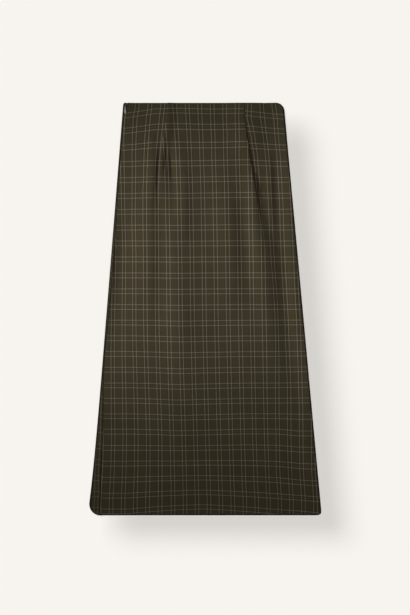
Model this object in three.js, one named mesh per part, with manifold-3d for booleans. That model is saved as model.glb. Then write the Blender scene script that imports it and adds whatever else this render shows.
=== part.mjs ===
// Checked A-line skirt, laid flat on a surface with its front up.
//
// Millimetres. +X across the skirt, +Y from hem to waist, +Z up off the surface. The origin is on
// the surface, in the middle of the laid-out skirt. "Drop" is the distance below the waist edge.
//
// Each panel is a cloth wall lofted through cross-sections (rows), one for each drop. A row is a list
// of points along the cloth: place x, z in the plane across the skirt, and nx, nz, the side of the
// cloth that faces out of the garment.

import * as THREE from 'three';
import Module from 'manifold-3d';
import { mergeVertices } from 'three/addons/utils/BufferGeometryUtils.js';

const wasm = await Module();
wasm.setup();

// ---------------------------------------------------------------- driving dimensions

const LENGTH = 900; // waist edge to hem edge
const WAIST_LEFT = 179.4; // half widths at the waist, from the middle line
const WAIST_RIGHT = 171.6;
const LEFT_SPREAD = 71.1; // how much wider each side is at the hem
const RIGHT_SPREAD = 82.8;
const LEFT_KICK = 6; // outward kick of the vent corner
const LEFT_KICK_POWER = 8;
const VENT_CORNER = 28; // corner radii of the outline
const HEM_CORNER = 9;
const WAIST_CORNER = 15.5;

const CLOTH = 1.2; // wall thickness
const GAP = 0.3; // between pieces, and between layers of one piece
const LAYER = CLOTH + GAP; // from one layer's middle to the next
const BACK_LEVEL = CLOTH / 2; // heights are to the middle of a layer
const FRONT_LEVEL = 2.5;
const SEAM_LEVEL = 3.6; // on the seam allowances at the sides
const ZIP_LEVEL = 4.8; // over the zip slider
const HEM_LEVEL = BACK_LEVEL + 3 * LAYER; // on two turned-up hems
const ZIP_LIFT_END = 90; // drop where the zip no longer lifts the seam
const ZIP_LIFT_START = 26;
const SIDE_LIFT_REACH = 36; // how far the seam allowances lift a panel, inwards from the seam

const HEM_DEPTH = 40; // turned-up hem
const HEM_LIFT_START = 44; // above the hem edge
const HEM_LIFT_END = 85;
const HEM_SIDE_INSET = 5; // turned-up part is this much narrower at +X
const HEM_BEND = LAYER / 2; // radius of the fold at the hem
const HEM_FOLD_REACH = 0.9; // share of the fold's depth that its corner follows the outline
const FRONT_HEM_RISE = 2.5; // front hem edge above the back's

const STRIP_MARGIN = 1.2; // least width of the rolled-over cloth before the seam
const SEAM_CLEARANCE = GAP / 2; // half the gap along the side seam
const SEAM_OPENING = 0.8; // half the gap at the zip slider and along the vent
const OPENING_EASE = 12;
const ZIP_OPENING_END = 11;
const VENT_TOP = 790; // drop

const EDGE_DIP = 1.3; // the front's edge at +X bends down by this much
const EDGE_DIP_REACH = 5;
const EDGE_DIP_MIDDLE = 0.4; // a row point at this share of the reach

const TUCK_BEND = 0.8; // radius of the two bends in a dart's fold
const TUCK_BEND_LENGTH = Math.PI * TUCK_BEND;
const TUCK_STEPS = 3;
const LEAST_TUCK = 0.2;
const TUCK_FADE = 62; // the raised cloth beside a dart sinks back over this distance

const TAPE_TOP = 1; // drops
const TAPE_BELOW_SLIDER = 12;
const TAPE_BOTTOM = 217;
const TAPE_HEIGHT = 1;
const TAPE_IN = 2.8; // from the outline
const TAPE_OUT = 14;

const PIVOT_DROP = 6;
const PIVOT_HEIGHT = ZIP_LEVEL + CLOTH / 2 + GAP + 0.45;
const BRIDGE_MID_RADIUS = 1.7;
const BRIDGE_WIRE = 0.9;
const SLIDER_WIDTH = 5.2;
const SLIDER_LENGTH = 9;
const SLIDER_NOSE = 1.6;
const SLIDER_BASE = CLOTH + GAP;
const SLIDER_TOP = 3.8;
const TAB_THICKNESS = 0.9;
const TAB_LENGTH = 16.6; // pivot to tip
const TAB_TOP = 0.5; // pivot to the tab's upper edge
const TAB_NECK = 1.6; // half width at the eye
const TAB_BELLY = 2.2; // half width at the round end
const EYE_HALF_WIDTH = 0.8;
const EYE_TOP = 0.85; // below the pivot
const EYE_BOTTOM = 2.55;

// Side seam at -X: how far in from the outline the front meets the rolled-over back.
const SEAM = [
  { drop: 0, inset: 5.4 },
  { drop: 60, inset: 4.8 },
  { drop: 210, inset: 4.2 },
  { drop: 560, inset: 4.2 },
  { drop: 632, inset: 7.6 },
  { drop: 682, inset: 11.0 },
  { drop: 737, inset: 14.6 },
  { drop: 790, inset: 16.2 },
  { drop: 828, inset: 19.4 },
  { drop: 857, inset: 22.4 },
  { drop: 900, inset: 25.6 },
];

// Darts. line: x of the folded edge. tuck: cloth folded back under it. turn: how far the cloth turns
// in each of the fold's two bends, in degrees; at 0 the cloth lies smooth.
const LEFT_DART = [
  { drop: 0, line: -82.0, tuck: 11.5, turn: 180 },
  { drop: 33, line: -85.3, tuck: 8.5, turn: 180 },
  { drop: 72, line: -91.8, tuck: 4.0, turn: 180 },
  { drop: 111, line: -97.3, tuck: 1.2, turn: 180 },
  { drop: 130, line: -99.0, tuck: 0, turn: 150 },
  { drop: 150, line: -100.0, tuck: 0, turn: 80 },
  { drop: 186, line: -101.0, tuck: 0, turn: 30 },
  { drop: 240, line: -101.5, tuck: 0, turn: 0 },
  { drop: 900, line: -104.0, tuck: 0, turn: 0 },
];
const RIGHT_DART = [
  { drop: 0, line: 84.5, tuck: 12.0, turn: 180 },
  { drop: 33, line: 86.5, tuck: 9.8, turn: 180 },
  { drop: 72, line: 91.5, tuck: 6.9, turn: 180 },
  { drop: 111, line: 97.0, tuck: 4.6, turn: 180 },
  { drop: 149, line: 102.8, tuck: 3.0, turn: 180 },
  { drop: 191, line: 110.6, tuck: 0.8, turn: 180 },
  { drop: 215, line: 115.0, tuck: 0, turn: 110 },
  { drop: 250, line: 121.5, tuck: 0, turn: 60 },
  { drop: 300, line: 131.0, tuck: 0, turn: 24 },
  { drop: 361, line: 143.0, tuck: 0, turn: 6 },
  { drop: 460, line: 158.0, tuck: 0, turn: 0 },
  { drop: 900, line: 175.0, tuck: 0, turn: 0 },
];

// Soft ridges that run down from the hips. x at the start and end drops, half width and height.
const RIDGES = [
  { start: 60, end: 560, top: -123, bottom: -122, width: 24, height: 2.4 },
  { start: 120, end: 620, top: -62, bottom: -56, width: 25, height: 2.4 },
  { start: 110, end: 500, top: 44, bottom: 58, width: 20, height: 1.7 },
  { start: 60, end: 700, top: 88, bottom: 170, width: 25, height: 2.6 },
  { start: 640, end: 890, top: 214, bottom: 229, width: 9, height: 1.0 },
];

// Drops of the rows, and hem distances (from each panel's own hem edge) of the rows near the hem.
const FRONT_DROPS = [
  0, 1.5, 4, 8, 13, 33, 52, 72, 92, 111, 130, 150, 168, 191, 215, 250, 300, 361, 420, 480, 550, 632, 682, 737,
  770, 790, 800, 814, 828, 843, 857,
];
const FRONT_HEM_ROWS = [28, 18, 10, 5, 2.5];
const BACK_DROPS = [
  0, 1.5, 4, 8, 13, 33, 52, 72, 90, 215, 380, 560, 632, 682, 737, 770, 790, 802, 815, 828, 843, 857,
];
const BACK_HEM_ROWS = [30, 22, 15, 10, 6, 3.8, 2.5];
const HEM_FOLD_TURNS = [0, 45, 90, 135, 180]; // degrees round the fold at the hem
const HEM_TURN_UP_ROWS = [2.5, 4, 12, HEM_DEPTH]; // hem distances of the turned-up part's rows

// ---------------------------------------------------------------- helpers

const radians = (degrees) => (degrees * Math.PI) / 180;
const mix = (a, b, t) => a + (b - a) * t;
const clamp01 = (t) => Math.min(1, Math.max(0, t));

/** 0 before a, 1 after b, and smooth between. */
function ease(a, b, value) {
  const t = clamp01((value - a) / (b - a));
  return t * t * (3 - 2 * t);
}

/** A table's column at a drop, straight between its rows. */
function lookup(table, column, drop) {
  const next = table.findIndex((row) => row.drop >= drop);
  if (next < 0) return table[table.length - 1][column];
  if (next === 0) return table[0][column];
  const [a, b] = [table[next - 1], table[next]];
  return mix(a[column], b[column], (drop - a.drop) / (b.drop - a.drop));
}

/** How far a round corner draws the outline in, at a distance from the edge across it. */
function cornerInset(radius, distance) {
  if (distance >= radius) return 0;
  const rest = radius - Math.max(distance, 0);
  return radius - Math.sqrt(radius * radius - rest * rest);
}

// ---------------------------------------------------------------- outline and heights

const share = (drop) => drop / LENGTH;
const leftSide = (drop) =>
  -(WAIST_LEFT + LEFT_SPREAD * share(drop) + LEFT_KICK * share(drop) ** LEFT_KICK_POWER);
const rightSide = (drop) => WAIST_RIGHT + RIGHT_SPREAD * share(drop);

/** Outline at -X, with the vent corner. The rolled-over back makes it. */
const leftOutline = (drop) => leftSide(drop) + cornerInset(VENT_CORNER, LENGTH - drop);

/** Outline at +X. hemDistance is from the panel's own hem edge. */
const rightOutline = (drop, hemDistance) =>
  rightSide(drop) - cornerInset(HEM_CORNER, hemDistance) - cornerInset(WAIST_CORNER, drop);

const hemLift = (drop) => 1 - ease(HEM_LIFT_START, HEM_LIFT_END, LENGTH - drop);

/** Height of both panels where they meet at the side seam at -X. */
function seamLevel(drop) {
  const level = mix(ZIP_LEVEL, SEAM_LEVEL, ease(ZIP_LIFT_START, ZIP_LIFT_END, drop));
  return mix(level, HEM_LEVEL, hemLift(drop));
}

const rollRadius = (drop) => (seamLevel(drop) - BACK_LEVEL) / 2;

/** Middle of the gap between the rolled-over back and the front. */
function seamLine(drop) {
  const along = leftSide(drop) + lookup(SEAM, 'inset', drop);
  const clearOfRoll = leftOutline(drop) + CLOTH / 2 + rollRadius(drop) + STRIP_MARGIN;
  return Math.max(along, clearOfRoll);
}

/** Half the width of that gap: wider at the zip slider and along the vent. */
function seamHalfGap(drop) {
  const atZip = 1 - ease(ZIP_OPENING_END, ZIP_OPENING_END + OPENING_EASE, drop);
  const atVent = ease(VENT_TOP, VENT_TOP + OPENING_EASE, drop);
  return mix(SEAM_CLEARANCE, SEAM_OPENING, Math.max(atZip, atVent));
}

function ridgeHeight(x, drop) {
  let height = 0;
  for (const ridge of RIDGES) {
    const t = (drop - ridge.start) / (ridge.end - ridge.start);
    if (t <= 0 || t >= 1) continue;
    const across = (x - mix(ridge.top, ridge.bottom, t)) / ridge.width;
    height += ridge.height * Math.sin(Math.PI * t) * Math.exp(-across * across);
  }
  return height;
}

/** Height of the front where no dart raises it. */
function frontHeight(x, drop) {
  const fromSeam = x - seamLine(drop);
  const fromSide = rightOutline(drop, LENGTH) - x;
  const rest = FRONT_LEVEL + ridgeHeight(x, drop) * (1 - hemLift(drop));
  const leftLift = 1 - ease(0, SIDE_LIFT_REACH, fromSeam);
  const rightLift = 1 - ease(EDGE_DIP_REACH, SIDE_LIFT_REACH, fromSide);
  let height = mix(rest, seamLevel(drop), leftLift);
  height = mix(height, SEAM_LEVEL, rightLift);
  return mix(height, HEM_LEVEL, hemLift(drop));
}

// ---------------------------------------------------------------- cross-sections

/**
 * The folded cloth at a dart, from the raised side to the low side: two bends with the tuck between
 * them. x is from the folded edge, z from the low side.
 */
function tuckProfile(tuck, turn) {
  const angle = Math.max(radians(turn), 1e-3);
  const bend = TUCK_BEND_LENGTH / angle;
  const step = angle / TUCK_STEPS;
  const chord = 2 * bend * Math.sin(step / 2);
  const points = [{ x: 0, z: 0, heading: 0 }];
  const advance = (distance, direction, heading) => {
    const last = points[points.length - 1];
    const x = last.x + distance * Math.cos(direction);
    points.push({ x, z: last.z + distance * Math.sin(direction), heading });
  };
  for (let k = 0; k < TUCK_STEPS; k += 1) advance(chord, -(k + 0.5) * step, -(k + 1) * step);
  advance(tuck + LEAST_TUCK, -angle, -angle);
  for (let k = 0; k < TUCK_STEPS; k += 1) advance(chord, -angle + (k + 0.5) * step, -angle + (k + 1) * step);
  const reach = bend * Math.sin(Math.min(angle, Math.PI / 2));
  const drop = points[points.length - 1].z;
  return points.map(({ x, z, heading }) => ({ x: x - reach, z: z - drop, heading }));
}

/** The dart's points in the row, on top of the front's own height. mirror -1 is the dart at -X. */
function tuckPoints(table, drop, mirror) {
  const profile = tuckProfile(lookup(table, 'tuck', drop), lookup(table, 'turn', drop));
  const line = lookup(table, 'line', drop);
  const points = profile.map(({ x, z, heading }) => {
    const place = line + mirror * x;
    return {
      x: place,
      z: frontHeight(place, drop) + z,
      nx: -mirror * Math.sin(heading),
      nz: Math.cos(heading),
    };
  });
  return mirror > 0 ? points : points.reverse();
}

/** Points between two x, ends left out, with their height; spread(t) sets the spacing. */
function spanPoints(from, to, count, height, spread = (t) => t) {
  const points = [];
  for (let k = 1; k < count; k += 1) {
    const x = mix(from, to, spread(k / count));
    points.push(surfacePoint(x, height));
  }
  return points;
}

function surfacePoint(x, height) {
  const delta = 0.25;
  const slope = (height(x + delta) - height(x - delta)) / (2 * delta);
  const size = Math.hypot(1, slope);
  return { x, z: height(x), nx: -slope / size, nz: 1 / size };
}

/** One row of the front. sideInset narrows it at +X, on the turned-up part. */
function frontRow(drop, hemDistance, sideInset) {
  const start = seamLine(drop) + seamHalfGap(drop);
  const end = rightOutline(drop, hemDistance) - CLOTH / 4 - sideInset;
  const leftTuck = tuckPoints(LEFT_DART, drop, -1);
  const rightTuck = tuckPoints(RIGHT_DART, drop, 1);
  const raisedFrom = leftTuck[leftTuck.length - 1];
  const raisedTo = rightTuck[0];
  const low = (x) => frontHeight(x, drop);
  const leftRise = raisedFrom.z - low(raisedFrom.x);
  const rightRise = raisedTo.z - low(raisedTo.x);
  const middle = (x) =>
    low(x) +
    leftRise * (1 - ease(0, TUCK_FADE, x - raisedFrom.x)) +
    rightRise * (1 - ease(0, TUCK_FADE, raisedTo.x - x));
  const dipped = (x) => {
    const near = sideInset > 0 ? 0 : clamp01(1 - (end - x) / EDGE_DIP_REACH);
    return low(x) - EDGE_DIP * near * near;
  };
  const nearSeam = (t) => mix(t, t * t, 0.6);
  const nearTucks = (t) => 0.5 - 0.5 * Math.cos(Math.PI * t);
  return [
    surfacePoint(start, low),
    ...spanPoints(start, leftTuck[0].x, 6, low, nearSeam),
    ...leftTuck,
    ...spanPoints(raisedFrom.x, raisedTo.x, 10, middle, nearTucks),
    ...rightTuck,
    ...spanPoints(rightTuck[rightTuck.length - 1].x, end - EDGE_DIP_REACH, 5, low),
    surfacePoint(end - EDGE_DIP_REACH, low),
    surfacePoint(end - EDGE_DIP_REACH * EDGE_DIP_MIDDLE, dipped),
    surfacePoint(end, dipped),
  ];
}

/** One row of the back: the rolled-over strip, the roll, then flat on the surface to +X. */
function backRow(drop, hemDistance, sideInset) {
  const level = seamLevel(drop);
  const radius = rollRadius(drop);
  const rollX = leftOutline(drop) + CLOTH / 2 + radius;
  const end = rightOutline(drop, hemDistance) - sideInset;
  const stripEdge = seamLine(drop) - seamHalfGap(drop);
  const points = [];
  for (const t of [0, 0.5]) points.push({ x: mix(stripEdge, rollX, t), z: level, nx: 0, nz: 1 });
  const rollSteps = 5;
  for (let k = 0; k <= rollSteps; k += 1) {
    const angle = (Math.PI * k) / rollSteps;
    const [nx, nz] = [-Math.sin(angle), Math.cos(angle)];
    points.push({ x: rollX + radius * nx, z: level - radius + radius * nz, nx, nz });
  }
  const flatSteps = 5;
  for (let k = 1; k <= flatSteps; k += 1) {
    points.push({ x: mix(rollX, end, k / flatSteps), z: BACK_LEVEL, nx: 0, nz: -1 });
  }
  return points;
}

// ---------------------------------------------------------------- cloth walls

/** A row's points placed in space, turned by an angle round the fold at the hem. */
function placeRow(section, y, turn) {
  const angle = radians(turn);
  const inward = HEM_BEND * (1 - Math.cos(angle));
  return section.map(({ x, z, nx, nz }) => ({
    place: new THREE.Vector3(x - nx * inward, y - HEM_BEND * Math.sin(angle), z - nz * inward),
    normal: new THREE.Vector3(nx * Math.cos(angle), -Math.sin(angle), nz * Math.cos(angle)),
  }));
}

/** All rows of a panel, from the waist edge down, round the fold at the hem and up inside. */
function panelRows(sectionAt, drops, hemRows, hemRise) {
  const hemDrop = LENGTH - hemRise;
  const yAt = (drop) => LENGTH / 2 - drop;
  const foldDistance = CLOTH / 2 + HEM_BEND;
  const rows = [];
  for (const drop of drops) {
    rows.push(placeRow(sectionAt(drop, hemDrop - drop, 0), yAt(drop), 0));
  }
  for (const distance of hemRows) {
    const drop = hemDrop - distance;
    rows.push(placeRow(sectionAt(drop, distance, 0), yAt(drop), 0));
  }
  for (const turn of HEM_FOLD_TURNS) {
    const distance = foldDistance * (1 - Math.sin(radians(turn)) * HEM_FOLD_REACH);
    const sideInset = (HEM_SIDE_INSET * turn) / 180;
    const section = sectionAt(hemDrop - distance, distance, sideInset);
    rows.push(placeRow(section, yAt(hemDrop - foldDistance), turn));
  }
  for (const distance of HEM_TURN_UP_ROWS) {
    const drop = hemDrop - distance;
    rows.push(placeRow(sectionAt(drop, distance, HEM_SIDE_INSET), yAt(drop), 180));
  }
  return rows;
}

/** A closed wall, CLOTH thick, round a grid of points and normals. */
function clothWall(rows) {
  const [rowCount, columnCount] = [rows.length, rows[0].length];
  const positions = [];
  for (const side of [1, -1]) {
    for (const row of rows) {
      for (const { place, normal } of row) {
        const point = place.clone().addScaledVector(normal, (side * CLOTH) / 2);
        positions.push(point.x, point.y, point.z);
      }
    }
  }
  const inside = rowCount * columnCount;
  const index = [];
  const quad = (a, b, c, d) => index.push(a, b, c, a, c, d);
  const at = (row, column) => row * columnCount + column;
  for (let r = 0; r + 1 < rowCount; r += 1) {
    for (let c = 0; c + 1 < columnCount; c += 1) {
      quad(at(r, c), at(r + 1, c), at(r + 1, c + 1), at(r, c + 1));
      quad(
        inside + at(r, c),
        inside + at(r, c + 1),
        inside + at(r + 1, c + 1),
        inside + at(r + 1, c),
      );
    }
  }
  const rim = [];
  for (let c = 0; c < columnCount - 1; c += 1) rim.push(at(0, c));
  for (let r = 0; r < rowCount - 1; r += 1) rim.push(at(r, columnCount - 1));
  for (let c = columnCount - 1; c > 0; c -= 1) rim.push(at(rowCount - 1, c));
  for (let r = rowCount - 1; r > 0; r -= 1) rim.push(at(r, 0));
  rim.forEach((a, k) => {
    const b = rim[(k + 1) % rim.length];
    quad(a, b, inside + b, inside + a);
  });
  return outwardGeometry(positions, index);
}

/** A geometry whose faces point out, whichever way round its rows ran. */
function outwardGeometry(positions, index) {
  const vertex = (k) => new THREE.Vector3().fromArray(positions, 3 * k);
  let volume = 0;
  for (let k = 0; k < index.length; k += 3) {
    const [a, b, c] = [vertex(index[k]), vertex(index[k + 1]), vertex(index[k + 2])];
    volume += a.dot(b.cross(c));
  }
  if (volume < 0) index.reverse();
  const geometry = new THREE.BufferGeometry();
  geometry.setAttribute('position', new THREE.Float32BufferAttribute(positions, 3));
  geometry.setIndex(index);
  geometry.computeVertexNormals();
  return geometry;
}

// ---------------------------------------------------------------- zip

/** Tape: a flat strip that follows the seam, on the back panel, cut out at the slider. */
function zipTape() {
  const besideSlider = lookup(SEAM, 'inset', PIVOT_DROP) + SLIDER_WIDTH / 2 + 3 * GAP;
  const corner = (drop, inset) => [leftSide(drop) + inset, LENGTH / 2 - drop];
  const shape = new THREE.Shape();
  shape.moveTo(...corner(TAPE_BELOW_SLIDER, TAPE_IN));
  shape.lineTo(...corner(TAPE_BOTTOM, TAPE_IN));
  shape.lineTo(...corner(TAPE_BOTTOM, TAPE_OUT));
  shape.lineTo(...corner(TAPE_TOP, TAPE_OUT));
  shape.lineTo(...corner(TAPE_TOP, besideSlider));
  shape.lineTo(...corner(TAPE_BELOW_SLIDER, besideSlider));
  shape.closePath();
  const geometry = new THREE.ExtrudeGeometry(shape, { depth: TAPE_HEIGHT, bevelEnabled: false });
  return geometry.translate(0, 0, CLOTH + GAP);
}

function toManifold(geometry) {
  const plain = geometry.clone();
  plain.deleteAttribute('normal');
  plain.deleteAttribute('uv');
  const merged = mergeVertices(plain, 1e-4);
  return new wasm.Manifold(
    new wasm.Mesh({
      numProp: 3,
      vertProperties: new Float32Array(merged.attributes.position.array),
      triVerts: new Uint32Array(merged.index.array),
    }),
  );
}

function fromManifold(solid) {
  const mesh = solid.getMesh();
  const geometry = new THREE.BufferGeometry();
  geometry.setAttribute('position', new THREE.BufferAttribute(mesh.vertProperties, 3));
  geometry.setIndex(new THREE.BufferAttribute(mesh.triVerts, 1));
  geometry.computeVertexNormals();
  return geometry;
}

/** Slider, about its pivot: a tapered body under the cloth and a bridge up through the seam. */
function zipSlider() {
  const front = SLIDER_LENGTH / 2;
  const half = SLIDER_WIDTH / 2;
  const plan = new THREE.Shape();
  plan.moveTo(-half, front);
  plan.lineTo(-half, -front + SLIDER_NOSE);
  plan.lineTo(-half + SLIDER_NOSE, -front);
  plan.lineTo(half - SLIDER_NOSE, -front);
  plan.lineTo(half, -front + SLIDER_NOSE);
  plan.lineTo(half, front);
  plan.closePath();
  const body = new THREE.ExtrudeGeometry(plan, { depth: SLIDER_TOP - SLIDER_BASE, bevelEnabled: false });
  body.translate(0, 0, SLIDER_BASE - PIVOT_HEIGHT);

  const outer = BRIDGE_MID_RADIUS + BRIDGE_WIRE / 2;
  const inner = BRIDGE_MID_RADIUS - BRIDGE_WIRE / 2;
  const foot = SLIDER_TOP - PIVOT_HEIGHT - GAP;
  const arch = new THREE.Shape();
  arch.moveTo(outer, foot);
  arch.lineTo(outer, 0);
  arch.absarc(0, 0, outer, 0, Math.PI, false);
  arch.lineTo(-outer, foot);
  arch.lineTo(-inner, foot);
  arch.lineTo(-inner, 0);
  arch.absarc(0, 0, inner, Math.PI, 0, true);
  arch.lineTo(inner, foot);
  arch.closePath();
  const bridge = new THREE.ExtrudeGeometry(arch, { depth: BRIDGE_WIRE, bevelEnabled: false, curveSegments: 8 });
  bridge.translate(0, 0, -BRIDGE_WIRE / 2);
  bridge.rotateX(Math.PI / 2);
  bridge.rotateZ(Math.PI / 2);
  return fromManifold(toManifold(body).add(toManifold(bridge)));
}

/** Teardrop tab, about its pivot, hanging towards the hem. */
function zipPullTab() {
  const belly = -TAB_LENGTH + TAB_BELLY;
  const shape = new THREE.Shape();
  shape.moveTo(-TAB_NECK + 0.5, TAB_TOP);
  shape.lineTo(-TAB_NECK, 0);
  shape.lineTo(-TAB_NECK, -EYE_BOTTOM - 1);
  shape.lineTo(-TAB_BELLY, belly);
  shape.absarc(0, belly, TAB_BELLY, Math.PI, 2 * Math.PI, false);
  shape.lineTo(TAB_NECK, -EYE_BOTTOM - 1);
  shape.lineTo(TAB_NECK, 0);
  shape.lineTo(TAB_NECK - 0.5, TAB_TOP);
  shape.closePath();
  const eye = new THREE.Path();
  eye.moveTo(-EYE_HALF_WIDTH, -EYE_TOP);
  eye.lineTo(EYE_HALF_WIDTH, -EYE_TOP);
  eye.lineTo(EYE_HALF_WIDTH, -EYE_BOTTOM);
  eye.lineTo(-EYE_HALF_WIDTH, -EYE_BOTTOM);
  eye.closePath();
  shape.holes.push(eye);
  const geometry = new THREE.ExtrudeGeometry(shape, {
    depth: TAB_THICKNESS,
    bevelEnabled: false,
    curveSegments: 8,
  });
  return geometry.translate(0, 0, -TAB_THICKNESS / 2);
}

// ---------------------------------------------------------------- the skirt

const cloth = { color: 0x3c372b, roughness: 0.92, metalness: 0 };
const tape = { color: 0x2c2922, roughness: 0.9, metalness: 0 };
const metal = { color: 0x8b8883, roughness: 0.4, metalness: 0.8 };

function namedMesh(name, geometry, finish) {
  const mesh = new THREE.Mesh(geometry, new THREE.MeshStandardMaterial(finish));
  mesh.name = name;
  return mesh;
}

const skirt = new THREE.Group();
const frontRows = panelRows(frontRow, FRONT_DROPS, FRONT_HEM_ROWS, FRONT_HEM_RISE);
skirt.add(namedMesh('front_panel', clothWall(frontRows), cloth));
const backRows = panelRows(backRow, BACK_DROPS, BACK_HEM_ROWS, 0);
skirt.add(namedMesh('back_panel', clothWall(backRows), cloth));

skirt.add(namedMesh('zip_tape', zipTape(), tape));

const zipPull = new THREE.Group();
zipPull.position.set(seamLine(PIVOT_DROP), LENGTH / 2 - PIVOT_DROP, PIVOT_HEIGHT);
zipPull.rotation.z = Math.atan2(seamLine(SLIDER_LENGTH) - seamLine(0), SLIDER_LENGTH);
zipPull.add(namedMesh('zip_slider', zipSlider(), metal));
zipPull.add(namedMesh('zip_pull_tab', zipPullTab(), metal));
skirt.add(zipPull);

export default skirt;
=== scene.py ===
"""Checked A-line skirt, laid flat with its front up.

Sizes are in millimetres, as in the CAD part, and turn into metres where a mesh is made. "Drop" is the
distance below the waist edge, and x runs across the skirt.
"""

import math

import bpy
import numpy as np
from mathutils import Matrix, Vector


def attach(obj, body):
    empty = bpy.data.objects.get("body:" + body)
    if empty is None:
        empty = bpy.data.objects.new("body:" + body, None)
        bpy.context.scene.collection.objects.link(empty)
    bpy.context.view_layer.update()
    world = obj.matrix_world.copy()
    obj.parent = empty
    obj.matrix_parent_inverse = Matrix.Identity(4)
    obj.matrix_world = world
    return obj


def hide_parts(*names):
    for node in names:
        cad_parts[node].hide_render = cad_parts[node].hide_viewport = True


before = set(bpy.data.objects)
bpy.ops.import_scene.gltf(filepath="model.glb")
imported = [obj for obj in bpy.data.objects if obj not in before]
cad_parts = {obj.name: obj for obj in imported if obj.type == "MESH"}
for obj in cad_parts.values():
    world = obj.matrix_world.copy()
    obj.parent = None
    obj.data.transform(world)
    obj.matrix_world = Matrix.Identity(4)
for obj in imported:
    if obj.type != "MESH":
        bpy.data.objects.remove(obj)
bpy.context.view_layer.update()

MM = 0.001

# ------------------------ sizes of the skirt, as in the CAD part

LENGTH = 900.0
WAIST_LEFT, LEFT_SPREAD = 179.4, 71.1  # half width at the waist, and how much wider that side is at the hem
WAIST_RIGHT, RIGHT_SPREAD = 171.6, 82.8
LEFT_KICK, LEFT_KICK_POWER = 6.0, 8  # outward kick of the vent corner
VENT_CORNER, HEM_CORNER, WAIST_CORNER = 28.0, 9.0, 15.5

# Heights are to the middle of a layer.
BACK_LEVEL, SEAM_LEVEL, ZIP_LEVEL, HEM_LEVEL = 0.6, 3.6, 4.8, 5.1
ZIP_LIFT_START, ZIP_LIFT_END = 26.0, 90.0
SIDE_LIFT_REACH = 36.0
HEM_LIFT_START, HEM_LIFT_END = 44.0, 85.0
HEM_DEPTH, HEM_BEND = 40.0, 0.75
HEM_SIDE_INSET = 5.0
FRONT_HEM_RISE = 2.5
STRIP_MARGIN = 1.2
SEAM_CLEARANCE, SEAM_OPENING = 0.15, 0.8
ZIP_OPENING_END, VENT_TOP, OPENING_EASE = 11.0, 790.0, 12.0
TUCK_BEND = 0.8
PIVOT_DROP, PIVOT_HEIGHT = 6.0, 6.15

# ------------------------ finer sizes, which only this script has

CLOTH = 1.0
FRONT_LEVEL = 2.6
BACK_HEM_RISE = -0.35  # the back's hem hangs a little below the outline
ZIP_CORNER = 4.0  # the waist's end at the zip is a little blunt
RIM_RISE, RIM_REACH = 2.9, 28.0  # the side seam's allowances lift the cloth towards the edge at +X
RIM_POWER, RIM_AT_HEM = 1.3, 0.6
VENT_GAPE = 0.5  # the vent's share of SEAM_OPENING
ZIP_GAPE, ZIP_GAPE_END = 2.4, (15.0, 21.0)  # beside the pull tab the front stands off
GAPE, GAPE_PITCH = 0.45, 15.0  # the seam pulls open a little between its stitches above the vent
GAPE_START, GAPE_END = (640, 700), (765, 785)
TUCK_FADE_LEFT, TUCK_FADE_RIGHT = 24.0, 52.0  # the raised cloth beside a dart sinks back over this distance
SIDE_CALM, WAIST_CALM = 14, 30  # the folds fade out towards the sides and the waist over this distance
HEM_CALM = 0.45  # share of the folds' height that is left on the turned-up hem
WAVE_PHASE = 0.7  # of the small unevenness in the cloth

# How softly the cloth turns down at its sewn and finished edges.
EDGE_DIP, EDGE_DIP_REACH = 3.9, 3.0
EDGE_INSET = (1.0, 0.4)  # of the front's +X edge from the outline, at the waist and the hem
ROLL_INSET = (1.0, 0.6)  # of the back's roll from the outline at -X, high up and low down
ROLL_INSET_DROPS = (300, 560)
SEAM_DIP, SEAM_DIP_REACH = 0.9, 2.6
WAIST_DIP, WAIST_DIP_REACH = 1.0, 3.5

# Painted shade where the cloth turns away at an edge: how strong, and where it starts to fade and ends,
# inwards.
PAINTED_EDGE_SHADES = {
    "left": (1.0, 2.2, 3.9), "right": (0.9, 2.0, 3.4), "waist": (0.5, 1.0, 2.4), "hem": (1.0, 1.8, 3.0),
}
ZIP_PAINTED_SHADE_INSET, ZIP_PAINTED_SHADE_FADE = 1.0, (0.6, 1.6)  # painted shadow in the opening beside the pull tab


def table(columns, *rows):
    """A short table, as {column name: its numbers}. Its first column is the drop, or start and end drops."""
    return dict(zip(columns.split(), np.array(rows, float).T))


def at(rows, column, drop):
    """A table's column at a drop, straight between its rows."""
    return np.interp(drop, rows["drop"], rows[column])


def mix(a, b, t):
    return a + (b - a) * t


def ease(a, b, value):
    """0 before a, 1 after b, and smooth between."""
    t = np.clip((value - a) / (b - a), 0, 1)
    return t * t * (3 - 2 * t)


def falloff(distance, reach, power=2):
    """1 at no distance, 0 from the reach on, and steepest at the start."""
    return np.clip(1 - distance / reach, 0, 1) ** power


def bell(offset, width):
    return np.exp(-((offset / width) ** 2))


def run_along(x, z):
    """Distances along a line of points, from its first."""
    return np.concatenate([[0], np.cumsum(np.hypot(np.diff(x), np.diff(z)))])


# Side seam at -X: how far in from the outline the front meets the rolled-over back.
SEAM = table(
    "drop inset",
    (0, 5.4), (60, 4.8), (210, 4.2), (560, 4.2), (632, 7.8), (682, 11.4), (737, 15.2),
    (790, 17), (828, 20.2), (857, 23.2), (900, 26.4),
)

# Where the rolled-over cloth puffs up along that seam: how far the front rises to it, in a shoulder, and
# the step from the front up to the strip.
SEAM_RISE = table(
    "drop shoulder step",
    (0, 0, 0), (90, 0.1, 0), (150, 1, 0.4), (210, 1.1, 0.5), (280, 2.1, 0.8), (330, 2.9, 1.2),
    (400, 2.8, 1.2), (450, 2.2, 0.9), (500, 1.6, 0.7), (560, 0.6, 0.3), (640, 0, 0.5), (700, 0, 1.1),
    (780, 0, 1.1), (812, 0, 0.5), (900, 0, 0.3),
)
SHOULDER_REACH, SHOULDER_POWER = 17.0, 1.5
STRIP_WIDENS = (600, 690)  # drops over which the strip becomes wide enough to slope down to its roll

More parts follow.
